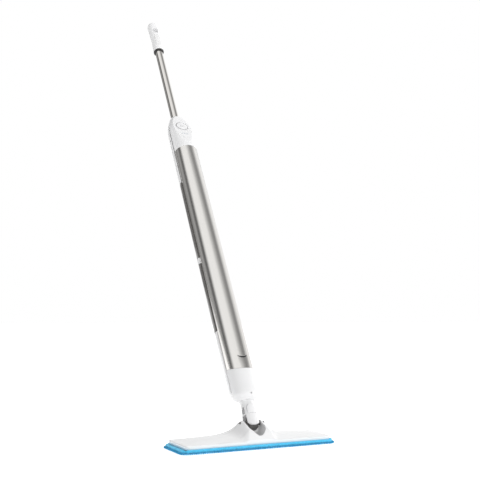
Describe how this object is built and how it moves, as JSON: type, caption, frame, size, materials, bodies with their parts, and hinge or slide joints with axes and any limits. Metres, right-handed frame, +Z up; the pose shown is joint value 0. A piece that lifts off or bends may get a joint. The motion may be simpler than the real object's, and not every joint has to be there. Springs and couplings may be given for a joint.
{
  "type": "steam mop",
  "caption": "Upright steam mop: slim metal-fronted body with a rear water tank, thin tube handle, and a flat swivelling floor head with a microfibre pad.",
  "frame": {"origin": "centre of the mop pad's underside, on the floor", "axes": "+X along the floor head, -Y the side the user faces, +Z up; the pole leans back 30.4 degrees as in the stored pose"},
  "size_m": [0.334, 0.6729, 1.082],
  "materials": {
    "white_gloss": "gloss",
    "white_satin": "satin",
    "brushed_champagne": "brushed",
    "polished_tube": "polished",
    "smoked": "gloss",
    "black_plastic": "satin",
    "grey_plastic": "satin",
    "black_rubber": "matte",
    "cast_metal": "satin",
    "boiler_metal": "cast",
    "steel": "plain",
    "board_green": "satin",
    "lamp_lens": "clear",
    "hose": "satin",
    "hook_tape": "hook and loop",
    "microfibre_blue": "terry"
  },
  "bodies": {
    "wand": {"grip_sleeve": "white_gloss", "grip_front_panel": "white_satin", "grip_ring": "black_plastic", "handle_tube": "polished_tube", "tube_socket": "black_plastic", "rear_shell_upper": "white_gloss", "collar_front": "white_gloss", "button_bezel": "grey_plastic", "power_switch": "black_plastic", "lamp_left": "lamp_lens", "lamp_middle": "lamp_lens", "lamp_right": "lamp_lens", "control_board": "board_green", "cord_gland": "black_rubber", "front_shell": "brushed_champagne", "crescent_inlay": "black_plastic", "chassis": "white_satin", "lower_front_housing": "white_gloss", "rear_shell_lower": "white_gloss", "tank_seat": "white_satin", "tank_latch_left": "white_gloss", "tank_latch_right": "white_gloss", "tank_seal": "black_rubber", "inlet_elbow": "black_plastic", "inlet_hose": "hose", "pump": "black_plastic", "pressure_hose": "hose", "boiler": "boiler_metal", "thermostat": "steel", "steam_hose": "hose", "neck": "white_gloss", "housing_screw": "steel"},
    "power_button": {"power_button": "white_gloss"},
    "release_key": {"release_key": "white_gloss"},
    "side_latch": {"side_latch": "grey_plastic"},
    "tank": {"water_tank": "smoked", "tank_valve": "white_satin"},
    "filler_cap": {"filler_cap": "black_rubber"},
    "cross_block": {"cross_block": "cast_metal"},
    "head": {"head_cover": "white_gloss", "base_plate": "white_satin", "hook_strip_front": "hook_tape", "hook_strip_back": "hook_tape", "head_screw_1": "steel", "head_screw_2": "steel", "head_screw_3": "steel", "head_screw_4": "steel", "steam_manifold": "grey_plastic", "mop_pad": "microfibre_blue"}
  },
  "joints": [
    {"name": "power_press", "type": "slide", "parent": "wand", "child": "power_button", "axis": [0, 0.7266, -0.6871], "range_m": [0, 0.0012], "stiffness_N_per_m": 600, "springref_m": -0.0012},
    {"name": "release_press", "type": "slide", "parent": "wand", "child": "release_key", "axis": [0, 0.8625, -0.506], "range_m": [0, 0.0025], "stiffness_N_per_m": 900, "springref_m": -0.002},
    {"name": "latch_draw", "type": "slide", "parent": "wand", "child": "side_latch", "axis": [1, 0, 0], "range_m": [0, 0.0018]},
    {"name": "tank_pull", "type": "slide", "parent": "wand", "child": "tank", "axis": [0, 0.8625, -0.506], "range_m": [0, 0.08]},
    {"name": "cap_pull", "type": "slide", "parent": "tank", "child": "filler_cap", "axis": [0, 0.8625, -0.506], "range_m": [0, 0.03]},
    {"name": "swivel", "type": "hinge", "parent": "wand", "child": "cross_block", "pos_m": [0, -0.0038, 0.0437], "axis": [0, 0.8625, -0.506], "range_deg": [-18, 18]},
    {"name": "tilt", "type": "hinge", "parent": "cross_block", "child": "head", "pos_m": [0, -0.0038, 0.0437], "axis": [1, 0, 0], "range_deg": [-45, 45]}
  ],
  "couplings": [
    {"joint": "latch_draw", "follows": "release_press", "ratio": 0.72}
  ]
}
